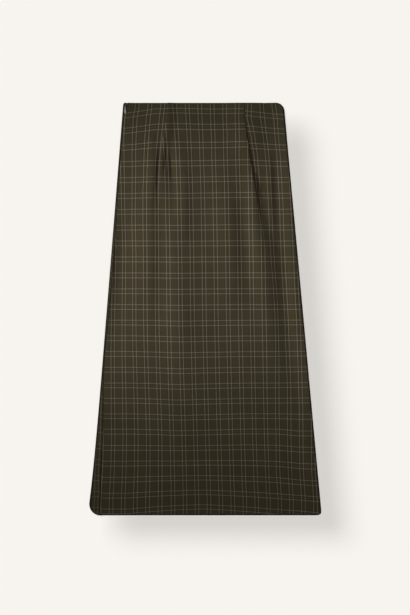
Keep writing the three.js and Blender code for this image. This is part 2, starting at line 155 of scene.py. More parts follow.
# Darts: x of the folded edge, cloth folded back under it, and how far the cloth turns, in degrees, in
# each of the fold's two bends. Below the sewn dart at +X the fold opens out into a soft pleat.
LEFT_DART = table(
    "drop line tuck turn",
    (0, -81.6, 11.5, 180), (33, -84.2, 8.5, 180), (57, -87.4, 5.9, 180), (72, -91.2, 4, 180),
    (111, -97.3, 1.2, 176),
    (128, -98.9, 0.2, 130), (146, -100, 0, 66), (166, -100.6, 0, 34), (200, -101.2, 0, 14),
    (240, -101.5, 0, 0), (900, -104, 0, 0),
)
RIGHT_DART = table(
    "drop line tuck turn",
    (0, 84.5, 12, 180), (33, 86.5, 9.8, 180), (72, 91.5, 6.9, 180), (111, 97, 4.6, 180),
    (149, 102.8, 2.4, 178), (191, 110.6, 0.3, 104), (215, 115, 0, 46), (250, 121.5, 0, 12),
    (300, 131, 0, 0), (361, 143, 0, 0), (460, 158, 0, 0), (900, 175, 0, 0),
)
# How far the cloth on the dart's +X side lifts to the height of its folded edge, and how wide the groove
# between them is.
DART_GROOVE = table(
    "drop lift width",
    (0, 3, 1.6), (30, 2.9, 1.8), (60, 2.4, 3.2), (100, 2.1, 4.6), (150, 1.7, 5.2), (185, 0.6, 6), (205, 0, 6),
)
GROOVE_FADE = 75.0

# Soft ridges (height above 0) and troughs (below 0) that the front lies in. They run down from start to
# end, through x at the top, middle and bottom. lean above 0 makes the +X flank the steeper one.
CREASES = table(
    "start end top middle bottom width height lean",
    (60, 560, -124, -121, -126, 27, 2.8, 0.45),  # outside the left dart
    (60, 240, -115, -117, -119, 10, 1.9, 0.35),
    (60, 170, -60, -57, -54, 15, 1.4, 0.2),
    (150, 640, -68, -63, -54, 28, 3, -0.10),  # down from the left dart's tip
    (110, 262, -71, -70, -72, 9, -1.3, 0),
    (80, 330, -45, -44, -47, 13, 1.6, 0.3),
    (105, 330, 0, 2, 4, 22, -0.8, 0),
    (110, 480, 42, 54, 60, 23, 2.6, 0.10),
    (110, 430, 79, 80, 88, 12, -1.1, 0),
    (90, 290, 141, 143, 148, 6, 1.3, 0.3),
    (90, 330, 154, 157, 162, 7, -1.2, 0),
    (210, 640, 164, 171, 188, 13, -0.9, 0.2),  # beside the pleat
    (200, 620, 187, 196, 208, 14, 1.6, 0),
    (330, 860, -58, -52, -50, 62, 2.2, 0.1),
    (360, 760, 40, 48, 56, 34, -0.6, 0),
    (330, 800, -168, -178, -176, 26, 0.4, 0),
    (640, 892, 214, 222, 231, 9, 1.3, 0),  # the wave at the hem's +X end
    (700, 886, 182, 190, 199, 10, -0.6, 0),
    (690, 890, -60, -52, -70, 30, 0.5, 0),
    (76, 236, -105.5, -107.6, -108.6, 5, 1, 0.5),  # short furrows at the left dart's tip
    (80, 200, -102.6, -108.9, -109.6, 3, 0.8, 0.5),
    (92, 154, -84, -87, -88.8, 2.2, -1.4, 0),
    (102, 176, -77.9, -75, -73.6, 3.4, -1.1, -0.5),
    (20, 120, 118, 128, 136, 9, -0.6, 0),
    (16, 140, 146, 152, 158, 12, 0.7, 0),
    (10, 120, -140, -146, -150, 13, 0.6, 0),
)

# The soft pleat below the dart at +X: x of its crest, its height, and how far each side slopes away.
PLEAT = table(
    "drop crest height reach flank",
    (50, 88, 0, 20, 6), (100, 94, 1, 20, 8), (146, 99, 1, 16, 12), (179, 102, 1.3, 15, 18),
    (212, 105, 2.3, 18, 24), (245, 109, 3.9, 26, 29), (277, 113, 4.8, 30, 33), (321, 121, 5.3, 33, 43),
    (364, 127, 5.2, 38, 47), (408, 132, 4.7, 38, 44), (451, 137, 3.8, 38, 43), (495, 142, 3, 42, 46),
    (539, 148, 2, 44, 48), (626, 157, 0.8, 46, 44), (700, 165, 0, 46, 40),
)

# ------------------------ outline and heights


def left_side(drop):
    share = drop / LENGTH
    return -(WAIST_LEFT + LEFT_SPREAD * share + LEFT_KICK * share**LEFT_KICK_POWER)


def right_side(drop):
    return WAIST_RIGHT + RIGHT_SPREAD * drop / LENGTH


def corner_inset(radius, distance):
    """How far a round corner draws the outline in, at a distance from the edge across it."""
    rest = np.clip(radius - np.maximum(distance, 0), 0, radius)
    return radius - np.sqrt(radius * radius - rest * rest)


def left_outline(drop):
    return left_side(drop) + corner_inset(VENT_CORNER, LENGTH - drop) + corner_inset(ZIP_CORNER, drop)


def right_outline(drop, hem_distance):
    return right_side(drop) - corner_inset(HEM_CORNER, hem_distance) - corner_inset(WAIST_CORNER, drop)


def hem_lift(drop):
    return 1 - ease(HEM_LIFT_START, HEM_LIFT_END, LENGTH - drop)


def seam_level(drop):
    """Height of both panels where they meet at the side seam at -X."""
    level = mix(ZIP_LEVEL, SEAM_LEVEL, ease(ZIP_LIFT_START, ZIP_LIFT_END, drop))
    return mix(level, HEM_LEVEL, hem_lift(drop))


def strip_level(drop):
    """Height of the rolled-over strip's edge at the seam."""
    return seam_level(drop) + at(SEAM_RISE, "shoulder", drop) + at(SEAM_RISE, "step", drop)


def roll_level(drop):
    """Height of the strip where its roll starts."""
    return mix(strip_level(drop), seam_level(drop), ease(*STRIP_WIDENS, drop))


def roll_radius(drop):
    return (roll_level(drop) - BACK_LEVEL) / 2


def roll_edge(drop):
    """Where the middle of the cloth turns round at the -X side."""
    return left_outline(drop) + mix(*ROLL_INSET, ease(*ROLL_INSET_DROPS, drop))


def seam_line(drop):
    """Middle of the gap between the rolled-over back and the front."""
    clear_of_roll = roll_edge(drop) + roll_radius(drop) + STRIP_MARGIN
    return max(left_side(drop) + at(SEAM, "inset", drop), clear_of_roll)


def seam_half_gap(drop):
    at_zip = 1 - ease(ZIP_OPENING_END, ZIP_OPENING_END + OPENING_EASE, drop)
    at_vent = VENT_GAPE * ease(VENT_TOP, VENT_TOP + OPENING_EASE, drop)
    gape = GAPE * ease(*GAPE_START, drop) * (1 - ease(*GAPE_END, drop))
    gape *= 0.6 + 0.4 * math.sin(2 * math.pi * drop / GAPE_PITCH)
    return mix(SEAM_CLEARANCE, SEAM_OPENING, max(at_zip, at_vent)) + gape


def creases(x, drop):
    """Height of the ridges and troughs at x, an array, and one drop."""
    c = CREASES
    t = ((drop - c["start"]) / (c["end"] - c["start"]))[:, None]
    centre = (
        c["top"][:, None] * (1 - t) * (1 - 2 * t)
        + c["middle"][:, None] * 4 * t * (1 - t)
        + c["bottom"][:, None] * t * (2 * t - 1)
    )
    off = x[None, :] - centre
    width = c["width"][:, None] * (1 - np.sign(off) * c["lean"][:, None])
    along = np.where((t > 0) & (t < 1), np.sin(np.pi * np.clip(t, 0, 1)) ** 0.8, 0)
    return (c["height"][:, None] * along * bell(off, width)).sum(axis=0)


def pleat(x, drop):
    """Height of the soft pleat."""
    crest, height, reach, flank = (at(PLEAT, c, drop) for c in ("crest", "height", "reach", "flank"))
    return height * np.where(x < crest, 1 - ease(0, reach, crest - x), 1 - ease(0, flank, x - crest))


def unevenness(x, drop):
    """Slight waves that no pressed cloth is quite without."""
    slow = np.sin(x / 41 + drop / 160 + WAVE_PHASE) * np.sin(drop / 118 - x / 95 + 2 * WAVE_PHASE)
    fine = np.sin(x / 17 - drop / 75 + 3 * WAVE_PHASE) * np.sin(drop / 43 + x / 61 + WAVE_PHASE)
    return 0.22 * slow + 0.07 * fine


def front_height(x, drop):
    """Height of the front where no dart raises it."""
    from_seam = x - seam_line(drop)
    from_side = right_outline(drop, LENGTH) - x
    height = mix(FRONT_LEVEL, seam_level(drop), 1 - ease(0, SIDE_LIFT_REACH, from_seam))
    height = mix(height, SEAM_LEVEL, 1 - ease(EDGE_DIP_REACH, SIDE_LIFT_REACH, from_side))
    height = mix(height, HEM_LEVEL, hem_lift(drop))
    shoulder = at(SEAM_RISE, "shoulder", drop)
    height = height + shoulder * falloff(from_seam, SHOULDER_REACH, SHOULDER_POWER)
    rim = RIM_RISE * mix(1, RIM_AT_HEM, hem_lift(drop))
    height = height + rim * falloff(from_side - EDGE_DIP_REACH, RIM_REACH, RIM_POWER)
    soft = ease(0, SIDE_CALM, from_seam) * ease(0, SIDE_CALM, from_side) * ease(0, WAIST_CALM, drop)
    soft = soft * mix(1, HEM_CALM, hem_lift(drop))
    return height + soft * (creases(x, drop) + pleat(x, drop) + unevenness(x, drop))


# ------------------------ where the check's lines run

# x of the vertical pairs, by drop. "fourth" is the fourth pair from the middle towards -X, and so on.
LEFT_PAIRS = table(
    "drop fourth sixth eighth",
    (7, -97, -152.5, -207), (33, -100.1, -156.9, -209.2), (72, -103.8, -159.1, -211.3),
    (111, -106.7, -159.7, -210.2), (149, -109.3, -159.2, -209.2), (256, -109.2, -160.1, -203.5),
    (326, -108.9, -158.2, -201.3), (466, -108.6, -158.4, -204.6), (536, -107.5, -157.9, -205.6),
    (606, -106, -156.1, -205.4), (671, -103.7, -155, -205), (737, -102.1, -154.1, -204.6),
    (802, -102.1, -154.7, -206), (868, -102.7, -156.6, -209.2),
)
MIDDLE_PAIRS = table(
    "drop middle pitch",
    (7, -16.2, 27.3), (33, -15.1, 26.8), (72, -13, 26.5), (111, -11.8, 26), (186, -9.4, 25.9),
    (326, -7, 25.9), (466, -5.6, 26), (606, -2.6, 25.9), (737, 0.9, 25.7), (835, 3.3, 25.9),
    (868, 4.3, 26.1),
)
RIGHT_PAIRS = table(
    "drop sixth seventh eighth",
    (7, 119.2, 145.5, 172), (33, 120.6, 149.8, 174.6), (72, 126.2, 152.2, 176.8),
    (111, 131, 156.2, 180.1), (149, 134.1, 158.5, 182.2), (221, 138, 162.5, 186.6),
    (291, 140.8, 164.2, 190.3), (361, 145, 167, 193.7), (431, 150.9, 171.6, 196.8),
    (466, 152.4, 173.4, 198.8), (536, 153.9, 176, 201.5), (606, 153.3, 179.1, 203.7),
    (671, 153.4, 179.6, 205.4), (737, 154.7, 179.6, 205.7), (802, 155, 181.1, 206.6),
    (868, 159, 184.1, 210.4),
)
# The fifth pair towards -X lies a little nearer the sixth: how far, as a share of a repeat.
FIFTH_SHIFT = table("drop share", (140, 0), (186, 0.05), (400, 0.05), (560, 0.02), (700, 0))
FIFTH_X, FIFTH_WIDTH = -135.0, 13.0
LEFT_JOIN = (150, 190)  # drops over which the portions beside a dart become one
RIGHT_JOIN = (380, 470)

# Number of the horizontal pair at a drop, on the middle line.
ROW_PAIRS = table(
    "drop number",
    (-26, -1), (13.6, 0), (46.6, 1), (85.9, 2), (125.9, 3), (161.4, 4), (266.6, 7), (440.9, 12),
    (613.1, 17), (747.8, 21), (813.5, 23), (876.7, 25), (938, 27),
)
# How far the horizontal pairs lie below that at the sides, because the side portions turn at the darts.
SIDE_SAG = table(
    "drop left right_inner right_outer",
    (0, 8.3, 7.7, 12.7), (14, 8.3, 7.7, 12.7), (47, 8.3, 6.8, 11.4), (86, 6.1, 4.2, 6.6),
    (126, 2.2, 0.7, 2), (162, 1.7, 1, 1.3), (232, 0.9, 0.6, 0.5), (300, 0, 0, 0),
)
SAG_LEFT_START, SAG_LEFT_FULL = -110.0, -167.0
SAG_RIGHT_INNER, SAG_RIGHT_OUTER = 113.0, 167.0
# A slow wave in the horizontal pairs: how far they lie below their line beside each dart.
ROW_WAVE = table(
    "drop left right",
    (24, -1.5, -0.8), (63, -1, -1.2), (102, 0.2, -1.5), (141, 1.3, -1.2), (220, 1.1, -0.7),
    (299, 0.5, -0.4), (377, 0.8, -0.4), (495, 1.2, -0.2), (574, 1.6, -0.6), (652, 1.9, -0.8),
    (713, 1.6, -1), (770, 0.8, -1), (810, 0.1, -0.1), (900, 0, 0),
)
WAVE_LEFT_X, WAVE_RIGHT_X, WAVE_WIDTH = -58.0, 85.0, 42.0
# The same towards the hem: at 167 mm from the middle line, and more at the +X edge.
HEM_SAG = table(
    "drop left right right_edge",
    (400, 0, 0, 0), (510, -1.5, -1.5, 0), (648, -1.7, -2, 0), (682, -1.8, -2.2, 2),
    (715, -2, -2.3, 5), (749, 0, -0.6, 4.2), (782, 1.3, 1.8, 3.4), (815, 3.5, 4.2, 4),
    (847, 6.2, 7.7, 1), (878, 8.8, 10.6, -1), (900, 10.6, 12.4, -1.5),
)
HEM_SAG_POWER_LEFT, HEM_SAG_POWER_RIGHT = 1.6, 1.2
EDGE_SAG_X = (145, 215)


def interp_on(x, places, numbers):
    """Straight between the places, and on past both ends with the last slope."""
    out = np.interp(x, places, numbers)
    low = (numbers[1] - numbers[0]) / (places[1] - places[0])
    high = (numbers[-1] - numbers[-2]) / (places[-1] - places[-2])
    out = np.where(x < places[0], numbers[0] + (x - places[0]) * low, out)
    return np.where(x > places[-1], numbers[-1] + (x - places[-1]) * high, out)


def check_across(x, drop, portion):
    """u at x: the number of vertical pairs from the middle one. portion is left, middle or right."""
    left = [at(LEFT_PAIRS, c, drop) for c in ("eighth", "sixth", "fourth")]
    right = [at(RIGHT_PAIRS, c, drop) for c in ("sixth", "seventh", "eighth")]
    origin, pitch = at(MIDDLE_PAIRS, "middle", drop), at(MIDDLE_PAIRS, "pitch", drop)
    places = left + [origin - 3 * pitch, origin + 5 * pitch] + right
    joined = interp_on(x, places, [-8, -6, -4, -3, 5, 6, 7, 8])
    joined = joined + at(FIFTH_SHIFT, "share", drop) * bell(x - FIFTH_X, FIFTH_WIDTH)
    if portion == "left":
        return mix(interp_on(x, left, [-8, -6, -4]), joined, ease(*LEFT_JOIN, drop))
    if portion == "right":
        return mix(interp_on(x, right, [6, 7, 8]), joined, ease(*RIGHT_JOIN, drop))
    join = np.where(x < 0, ease(*LEFT_JOIN, drop), ease(*RIGHT_JOIN, drop))
    return mix((x - origin) / pitch, joined, join)


def check_down(x, drop, portion):
    """v at x: the number of the horizontal pair."""
    left_share = np.clip(-x / SAG_RIGHT_OUTER, 0, 1) ** HEM_SAG_POWER_LEFT
    right_share = np.maximum(x / SAG_RIGHT_OUTER, 0) ** HEM_SAG_POWER_RIGHT
    sag = at(HEM_SAG, "left", drop) * left_share + at(HEM_SAG, "right", drop) * right_share
    sag = sag + at(HEM_SAG, "right_edge", drop) * ease(*EDGE_SAG_X, x)
    for column, centre in (("left", WAVE_LEFT_X), ("right", WAVE_RIGHT_X)):
        sag = sag + at(ROW_WAVE, column, drop) * bell(x - centre, WAVE_WIDTH)
    if portion == "left":
        turned = np.maximum((SAG_LEFT_START - x) / (SAG_LEFT_START - SAG_LEFT_FULL), 0)
        sag = sag + at(SIDE_SAG, "left", drop) * turned
    if portion == "right":
        inner, outer = at(SIDE_SAG, "right_inner", drop), at(SIDE_SAG, "right_outer", drop)
        share = (x - SAG_RIGHT_INNER) / (SAG_RIGHT_OUTER - SAG_RIGHT_INNER)
        sag = sag + np.maximum(mix(inner, outer, share), 0)
    return np.interp(drop - sag, ROW_PAIRS["drop"], ROW_PAIRS["number"])


# ------------------------ cross-sections


class Row:
    """Points along the cloth at one drop: x, z, and the check's u and v."""

    def __init__(self, x, z, u, v):
        self.x, self.z, self.u, self.v = (np.asarray(a, float) for a in (x, z, u, v))

    def __add__(self, other):
        pairs = zip((self.x, self.z, self.u, self.v), (other.x, other.z, other.u, other.v))
        return Row(*(np.concatenate(pair) for pair in pairs))


TUCK_STEPS = 7
LEAST_TUCK, LEAST_TURN = 0.2, 1e-3  # LEAST_TURN in radians


def tuck_profile(tuck, turn):
    """The folded cloth at a dart, from the raised side to the low side, with x from the folded edge."""
    angle = max(math.radians(turn), LEAST_TURN)
    bend = math.pi * TUCK_BEND / angle
    step = angle / TUCK_STEPS
    chord = 2 * bend * math.sin(step / 2)
    headings = [-(k + 0.5) * step for k in range(TUCK_STEPS)]
    moves = [(chord, h) for h in headings] + [(tuck + LEAST_TUCK, -angle)]
    moves += [(chord, h) for h in reversed(headings)]
    x = np.concatenate([[0], np.cumsum([d * math.cos(h) for d, h in moves])])
    z = np.concatenate([[0], np.cumsum([d * math.sin(h) for d, h in moves])])
    reach = bend * math.sin(min(angle, math.pi / 2))
    return x - reach, z - z[-1]


def tuck_row(dart, drop, mirror):
    """The dart's stretch of a row. mirror -1 is the dart at -X. Its u and v are filled in later."""
    dx, dz = tuck_profile(at(dart, "tuck", drop), at(dart, "turn", drop))
    x = at(dart, "line", drop) + mirror * dx
    z = front_height(x, drop) + dz
    if mirror < 0:
        x, z = x[::-1], z[::-1]
    return x, z


def bridge(row_before, x, z, row_after):
    """Check numbers across a dart's hidden cloth, in even steps along it."""
    px = np.concatenate([[row_before.x[-1]], x, [row_after.x[0]]])
    pz = np.concatenate([[row_before.z[-1]], z, [row_after.z[0]]])
    run = run_along(px, pz)
    share = (run / run[-1])[1:-1]
    u = mix(row_before.u[-1], row_after.u[0], share)
    v = mix(row_before.v[-1], row_after.v[0], share)
    return row_before + Row(x, z, u, v) + row_after


# The columns of the front stand closer at the seam, at the furrows beside the left dart, and at the
# pleat: what share of each portion's columns lies before each of the places that front_row gives.
LEFT_COLUMNS, LEFT_SHARES = 48, (0, 0.1, 0.2, 0.58, 1)
MIDDLE_COLUMNS, MIDDLE_SHARES = 96, (0, 0.34, 0.93, 1)
RIGHT_COLUMNS, RIGHT_SHARES = 43, (0, 0.30, 0.8, 0.88, 1)
FURROW_X, FURROW_REACH = -117.0, 36.0
# How far those places lie from the seam, the pleat, the right dart's groove and the +X edge.
FROM_SEAM, FROM_PLEAT, FROM_GROOVE, FROM_EDGE = (5, 16), 9, 6, (8, 3.2)


def portion_row(x, z, drop, portion):
    return Row(x, z, check_across(x, drop, portion), check_down(x, drop, portion))


def front_row(drop, hem_distance, side_inset):
    """One row of the front. side_inset narrows it at +X, on the turned-up part."""
    start = seam_line(drop) + seam_half_gap(drop) + ZIP_GAPE * (1 - ease(*ZIP_GAPE_END, drop))
    end = right_outline(drop, hem_distance) - mix(*EDGE_INSET, drop / LENGTH) - side_inset
    left_x, left_z = tuck_row(LEFT_DART, drop, -1)
    right_x, right_z = tuck_row(RIGHT_DART, drop, 1)

    t = np.linspace(0, 1, LEFT_COLUMNS, endpoint=False)
    x = np.interp(t, LEFT_SHARES, (start, start + FROM_SEAM[0], start + FROM_SEAM[1], FURROW_X, left_x[0]))
    seam_dip = SEAM_DIP * falloff(x - start, SEAM_DIP_REACH)
    left = portion_row(x, front_height(x, drop) - seam_dip, drop, "left")

    t = np.linspace(0, 1, MIDDLE_COLUMNS + 1)[1:-1]
    places = (left_x[-1], left_x[-1] + FURROW_REACH, right_x[0] - FROM_PLEAT, right_x[0])
    x = np.interp(t, MIDDLE_SHARES, places)
    rise_left = left_z[-1] - front_height(left_x[-1:], drop)[0]
    rise_right = right_z[0] - front_height(right_x[:1], drop)[0]
    z = front_height(x, drop)
    z = z + rise_left * (1 - ease(0, TUCK_FADE_LEFT, x - left_x[-1]))
    z = z + rise_right * (1 - ease(0, TUCK_FADE_RIGHT, right_x[0] - x))
    middle = portion_row(x, z, drop, "middle")

    t = np.linspace(0, 1, RIGHT_COLUMNS + 1)[1:]
    line, width = at(RIGHT_DART, "line", drop), at(DART_GROOVE, "width", drop)
    places = (right_x[-1], line + FROM_GROOVE, end - FROM_EDGE[0], end - FROM_EDGE[1], end)
    x = np.interp(t, RIGHT_SHARES, places)
    edge_dip = 0 if side_inset else EDGE_DIP * falloff(end - x, EDGE_DIP_REACH)
    lift = ease(0.1, width, x - line) * (1 - ease(width, width + GROOVE_FADE, x - line))
    z = front_height(x, drop) + at(DART_GROOVE, "lift", drop) * lift - edge_dip
    right = portion_row(x, z, drop, "right")

    row = bridge(left, left_x, left_z, middle)
    row = bridge(row, right_x, right_z, right)
    row.z = row.z - WAIST_DIP * falloff(drop, WAIST_DIP_REACH)
    return row


# The back's own darts, which lie underneath: x of each from the middle, length, and intake at the waist.
BACK_DART_X, BACK_DART_LENGTH, BACK_DART_INTAKE = 82.0, 135.0, 24.0
BACK_PITCH = 25.9
BACK_GROOVE, BACK_GROOVE_WIDTH = 0.5, 1.6
STRIP_START, STRIP_SHIFT = -8.2, 3.7  # number of the vertical pair at the seam, and the check's step there
STRIP_COLUMNS, ROLL_COLUMNS, FLAT_COLUMNS = 7, 13, 61


def back_row(drop, hem_distance, side_inset):
    """One row of the back: the rolled-over strip, the roll, then flat on the surface to +X."""
    level, radius = roll_level(drop), roll_radius(drop)
    roll_x = roll_edge(drop) + radius
    end = right_outline(drop, hem_distance) - side_inset
    strip_edge = seam_line(drop) - seam_half_gap(drop)

    t = np.linspace(0, 1, STRIP_COLUMNS, endpoint=False)
    strip_x = mix(strip_edge, roll_x, t)
    dip = SEAM_DIP * falloff(strip_edge - strip_x, SEAM_DIP_REACH)
    dip = dip * np.clip((strip_edge - roll_x) / SEAM_DIP_REACH, 0, 1)
    strip_z = mix(strip_level(drop), level, t) - dip
    angle = np.linspace(0, np.pi, ROLL_COLUMNS)
    arc_x = roll_x - radius * np.sin(angle)
    arc_z = level - radius + radius * np.cos(angle)
    t = np.linspace(0, 1, FLAT_COLUMNS + 1)[1:]
    flat_x = mix(roll_x, end, t)
    fade = 1 - ease(0, BACK_DART_LENGTH, np.array(drop))
    groove = sum(bell(flat_x - s * BACK_DART_X, BACK_GROOVE_WIDTH) for s in (-1, 1))
    flat_z = BACK_LEVEL + BACK_GROOVE * fade * groove

    x = np.concatenate([strip_x, arc_x, flat_x])
    z = np.concatenate([strip_z, arc_z, flat_z])
    z = z - WAIST_DIP * falloff(drop, WAIST_DIP_REACH) * (z > level - 0.5)
    u = run_along(x, z) / BACK_PITCH + STRIP_START
    hidden = BACK_DART_INTAKE * fade / BACK_PITCH
    flat_part = np.arange(len(x)) >= len(strip_x) + len(arc_x)
    u = u + flat_part * hidden * ((x > -BACK_DART_X).astype(float) + (x > BACK_DART_X))
    top_part = np.arange(len(x)) < len(strip_x) + len(arc_x) // 2
    v = check_down(x, drop, "left")
    v = np.where(top_part, v + STRIP_SHIFT / CHECK_SIZE[1], check_down(x, drop, "middle"))
    return Row(x, z, u, v)


# ------------------------ cloth walls

HEM_EDGE = 0.6  # the cloth's half thickness, and a little clearance
HEM_TURNS, HEM_FOLD_REACH = 8, 0.9
HEM_ROWS = (2.5, 4.0, 7.0, 12.0, 22.0, 31.0, HEM_DEPTH)
HEM_REPEAT = 34.0  # of the check, which runs back up on the turned-up part


def panel_grid(section_at, drops, hem_rise):
    """Rows from the waist edge down, round the fold at the hem and up inside: points, their u and v, and
    1 or -1 as the rows' points run with the front or the back outwards."""
    hem_drop = LENGTH - hem_rise
    fold_distance = HEM_EDGE + HEM_BEND
    plan = [(drop, hem_drop - drop, 0.0, 0.0) for drop in drops if drop < hem_drop - fold_distance - HEM_EDGE]
    for turn in np.linspace(0, 180, HEM_TURNS):
        distance = fold_distance * (1 - math.sin(math.radians(turn)) * HEM_FOLD_REACH)
        plan.append((hem_drop - distance, distance, HEM_SIDE_INSET * turn / 180, turn))
    for distance in HEM_ROWS:
        plan.append((hem_drop - distance, distance, HEM_SIDE_INSET, 180.0))
    outward = -1.0 if section_at is back_row else 1.0
    points, uv = [], []
    for drop, distance, side_inset, turn in plan:
        row = section_at(drop, distance, side_inset)
        y = LENGTH / 2 - hem_drop + max(distance, fold_distance)
        dx, dz = np.gradient(row.x), np.gradient(row.z)
        size = np.hypot(dx, dz)
        nx, nz = -outward * dz / size, outward * dx / size
        angle = math.radians(turn)
        inward = HEM_BEND * (1 - math.cos(angle))
        y_all = np.full(len(row.x), y - HEM_BEND * math.sin(angle))
        points.append(np.stack([row.x - nx * inward, y_all, row.z - nz * inward], axis=1))
        v = row.v + (2 * distance / HEM_REPEAT if turn == 180 else 0)
        uv.append(np.stack([row.u, v], axis=1))
    return np.array(points), np.array(uv), outward


def wall_mesh(name, points, uv, outward, thickness=CLOTH):
    """A closed wall round a grid of points."""
    down, across = np.gradient(points, axis=0), np.gradient(points, axis=1)
    normal = np.cross(down, across) * outward
    normal /= np.maximum(np.linalg.norm(normal, axis=2, keepdims=True), 1e-9)
    rows, columns = points.shape[:2]
    half = normal * thickness / 2
    vertices = np.concatenate([(points + half).reshape(-1, 3), (points - half).reshape(-1, 3)]) * MM
    index = np.arange(rows * columns).reshape(rows, columns)
    a, b, c, d = index[:-1, :-1], index[1:, :-1], index[1:, 1:], index[:-1, 1:]
    outer = np.stack([a, b, c, d], axis=-1).reshape(-1, 4)
    if outward < 0:
        outer = outer[:, ::-1]
    inner = outer[:, ::-1] + rows * columns
    loop = np.concatenate([index[:, 0], index[-1, 1:], index[::-1, -1][1:], index[0, ::-1][1:-1]])
    after = np.roll(loop, -1)
    rim = np.stack([after, loop, loop + rows * columns, after + rows * columns], axis=-1)
    if outward < 0:
        rim = rim[:, ::-1]
    faces = np.concatenate([outer, inner, rim])
    mesh = bpy.data.meshes.new(name)
    mesh.from_pydata(vertices.tolist(), [], faces.tolist())
    layer = mesh.uv_layers.new(name="check")
    vertex_of_loop = np.empty(len(mesh.loops), np.int32)
    mesh.loops.foreach_get("vertex_index", vertex_of_loop)
    both = np.concatenate([uv.reshape(-1, 2)] * 2)
    layer.data.foreach_set("uv", both[vertex_of_loop].astype(np.float32).ravel())
    # painted_edge_shade holds painted shade at the outline and the zip opening; faded is where the check's
    # lines fade.
    for attribute, values in (("painted_edge_shade", painted_edge_shade), ("faded", faded)):
        channel = mesh.attributes.new(attribute, "FLOAT", "POINT")
        channel.data.foreach_set("value", values(vertices / MM).astype(np.float32))
    mesh.shade_smooth()
    mesh.update()
    return mesh


STRIP_FADE_EDGE = (-0.4, 0.6)  # from the seam line


def faded(points):
    """1 on the rolled-over strip at the side seam, where the check hardly shows, and 0 elsewhere."""
    x, drop = points[:, 0], np.clip(LENGTH / 2 - points[:, 1], 0, LENGTH)
    seam = left_side(drop) + at(SEAM, "inset", drop)
    return (1 - ease(*STRIP_FADE_EDGE, x - seam)) * (points[:, 2] > BACK_LEVEL + CLOTH)


def painted_edge_shade(points):
    """Painted shade: 1 on the turned edges round the skirt and in the opening at the zip, falling to 0 just
    inside them.
    """
    x, drop = points[:, 0], LENGTH / 2 - points[:, 1]
    inside = {
        "left": x - left_outline(np.clip(drop, 0, LENGTH)),
        "right": right_outline(drop, LENGTH - drop) - x,
        "waist": drop,
        "hem": LENGTH - drop,
    }
    shades = []
    for side, (strength, start, end) in PAINTED_EDGE_SHADES.items():
        shades.append(strength * (1 - ease(start, end, inside[side])))
    # The opening beside the pull tab is painted dark for the shadow that lies in it.
    opening = left_side(drop) + at(SEAM, "inset", drop) + SEAM_OPENING + ZIP_GAPE - ZIP_PAINTED_SHADE_INSET
    at_zip = 1 - ease(*ZIP_PAINTED_SHADE_FADE, np.abs(x - opening))
    shades.append(at_zip * (1 - ease(*ZIP_GAPE_END, drop)) * ease(1, 3, drop))
    return np.max(shades, axis=0)


def in_scene(name, data):
    thing = bpy.data.objects.new(name, data)
    bpy.context.scene.collection.objects.link(thing)
    return thing


def add_object(name, mesh, material, body="skirt"):
    piece = in_scene(name, mesh)
    mesh.materials.clear()
    mesh.materials.append(material)
    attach(piece, body)
    return piece


# ------------------------ materials


class Nodes:
    """Short calls for building a material's node tree."""

    def __init__(self, name):
        self.material = bpy.data.materials.new(name)
        self.material.use_nodes = True
        self.tree = self.material.node_tree
        self.shader = self.tree.nodes["Principled BSDF"]

    def add(self, kind, **settings):
        node = self.tree.nodes.new(kind)
        for key, value in settings.items():
            setattr(node, key, value)
        return node

    def link(self, value, socket):
        if isinstance(value, bpy.types.NodeSocket):
            self.tree.links.new(value, socket)
        else:
            socket.default_value = value

    def put(self, node, **numbers):
        """Sets a node's inputs. Their names have _ for a space."""
        for name, number in numbers.items():
            node.inputs[name.replace("_", " ")].default_value = number

    def bump(self, height, strength, distance):
        node = self.add("ShaderNodeBump")
        self.put(node, Strength=strength, Distance=distance)
        self.link(height, node.inputs["Height"])
        self.link(node.outputs[0], self.shader.inputs["Normal"])

    def stretched(self, vector, scale):
        node = self.add("ShaderNodeMapping", vector_type="POINT")
        self.link(vector, node.inputs[0])
        node.inputs["Scale"].default_value = scale
        return node.outputs[0]

    def attribute(self, name):
        return self.add("ShaderNodeAttribute", attribute_name=name).outputs["Fac"]

    def math(self, operation, a, b=0.0):
        node = self.add("ShaderNodeMath", operation=operation)
        self.link(a, node.inputs[0])
        self.link(b, node.inputs[1])
        return node.outputs[0]

    def times(self, a, b):
        return self.math("MULTIPLY", a, b)

    def ramp(self, value, low, high, out_low=0.0, out_high=1.0):
        """value from low to high becomes out_low to out_high, smoothly."""
        node = self.add("ShaderNodeMapRange", interpolation_type="SMOOTHSTEP")
        for socket, number in zip(node.inputs[:5], (value, low, high, out_low, out_high)):
            self.link(number, socket)
        return node.outputs[0]

    def noise(self, vector, scale, detail=3.0, roughness=0.55):
        node = self.add("ShaderNodeTexNoise")
        self.link(vector, node.inputs["Vector"])
        self.put(node, Scale=scale, Detail=detail, Roughness=roughness)
        return node.outputs["Fac"]

    def colour_mix(self, share, a, b, kind="MIX"):
        node = self.add("ShaderNodeMix", data_type="RGBA", blend_type=kind)
        self.link(share, node.inputs[0])
        self.link(a, node.inputs[6])
        self.link(b, node.inputs[7])
        return node.outputs[2]


def srgb(red, green, blue):
    """A linear colour with alpha, from 8-bit sRGB."""
    def linear(c):
        c /= 255
        return c / 12.92 if c <= 0.04045 else ((c + 0.055) / 1.055) ** 2.4
    return (linear(red), linear(green), linear(blue), 1.0)


CHECK_SIZE = (25.9, 35.0)  # one repeat of the check across and down
PAIR_SPACING = 0.30  # of a repeat, between the two lines of a pair
GROUND = srgb(56, 50, 31.5)
GROUND_DARK = srgb(50, 44, 27)
LINE = srgb(120, 112, 97)
STRIP_FADE = 0.40
PAINTED_EDGE_SHADE_COLOUR = srgb(8, 7, 5)  # painted shade where the cloth turns away round the outline, and in the opening at the zip
